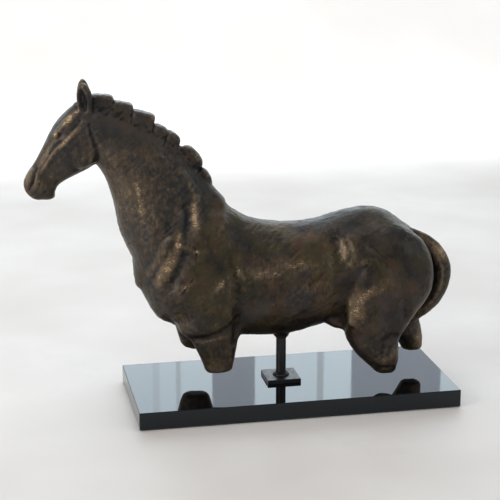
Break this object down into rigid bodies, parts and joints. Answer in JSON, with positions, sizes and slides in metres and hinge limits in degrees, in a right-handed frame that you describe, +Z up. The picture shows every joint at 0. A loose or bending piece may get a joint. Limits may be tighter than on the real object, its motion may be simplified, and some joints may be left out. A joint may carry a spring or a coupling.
{
  "type": "bronze horse statue",
  "caption": "Cast bronze torso of a standing horse with cut-off legs, swivelling on a steel post over a polished black stone slab.",
  "frame": {"origin": "centre of the resting face under the slab", "axes": "+Z up, +X along the slab's long side towards the horse's tail, the horse's left side towards -Y"},
  "size_m": [0.5364, 0.178, 0.406],
  "materials": {
    "bronze": "dark hand-rubbed patina, satin",
    "black_steel": "satin black",
    "black_stone": "mirror polished",
    "bolt_steel": "black oxide",
    "zinc_steel": "zinc plated",
    "felt": "matt felt"
  },
  "bodies": {
    "stand": {"support_post": "black_steel", "weld_bead": "black_steel", "foot_plate": "black_steel", "base_slab": "black_stone", "base_bolt": "bolt_steel", "flat_washer": "zinc_steel", "lock_washer": "zinc_steel", "felt_sheet": "felt"},
    "horse": {"torso_casting": "bronze", "neck_casting": "bronze", "head_casting": "bronze", "mane_casting": "bronze", "ear_left": "bronze", "ear_right": "bronze", "foreleg_left": "bronze", "foreleg_right": "bronze", "hindleg_left": "bronze", "hindleg_right": "bronze", "tail_casting": "bronze", "belly_boss": "bronze", "set_screw": "black_steel"}
  },
  "joints": [
    {"name": "horse_swivel", "type": "hinge", "parent": "stand", "child": "horse", "pos_m": [-0.009, 0, 0.078], "axis": [0, 0, 1], "continuous": true}
  ]
}
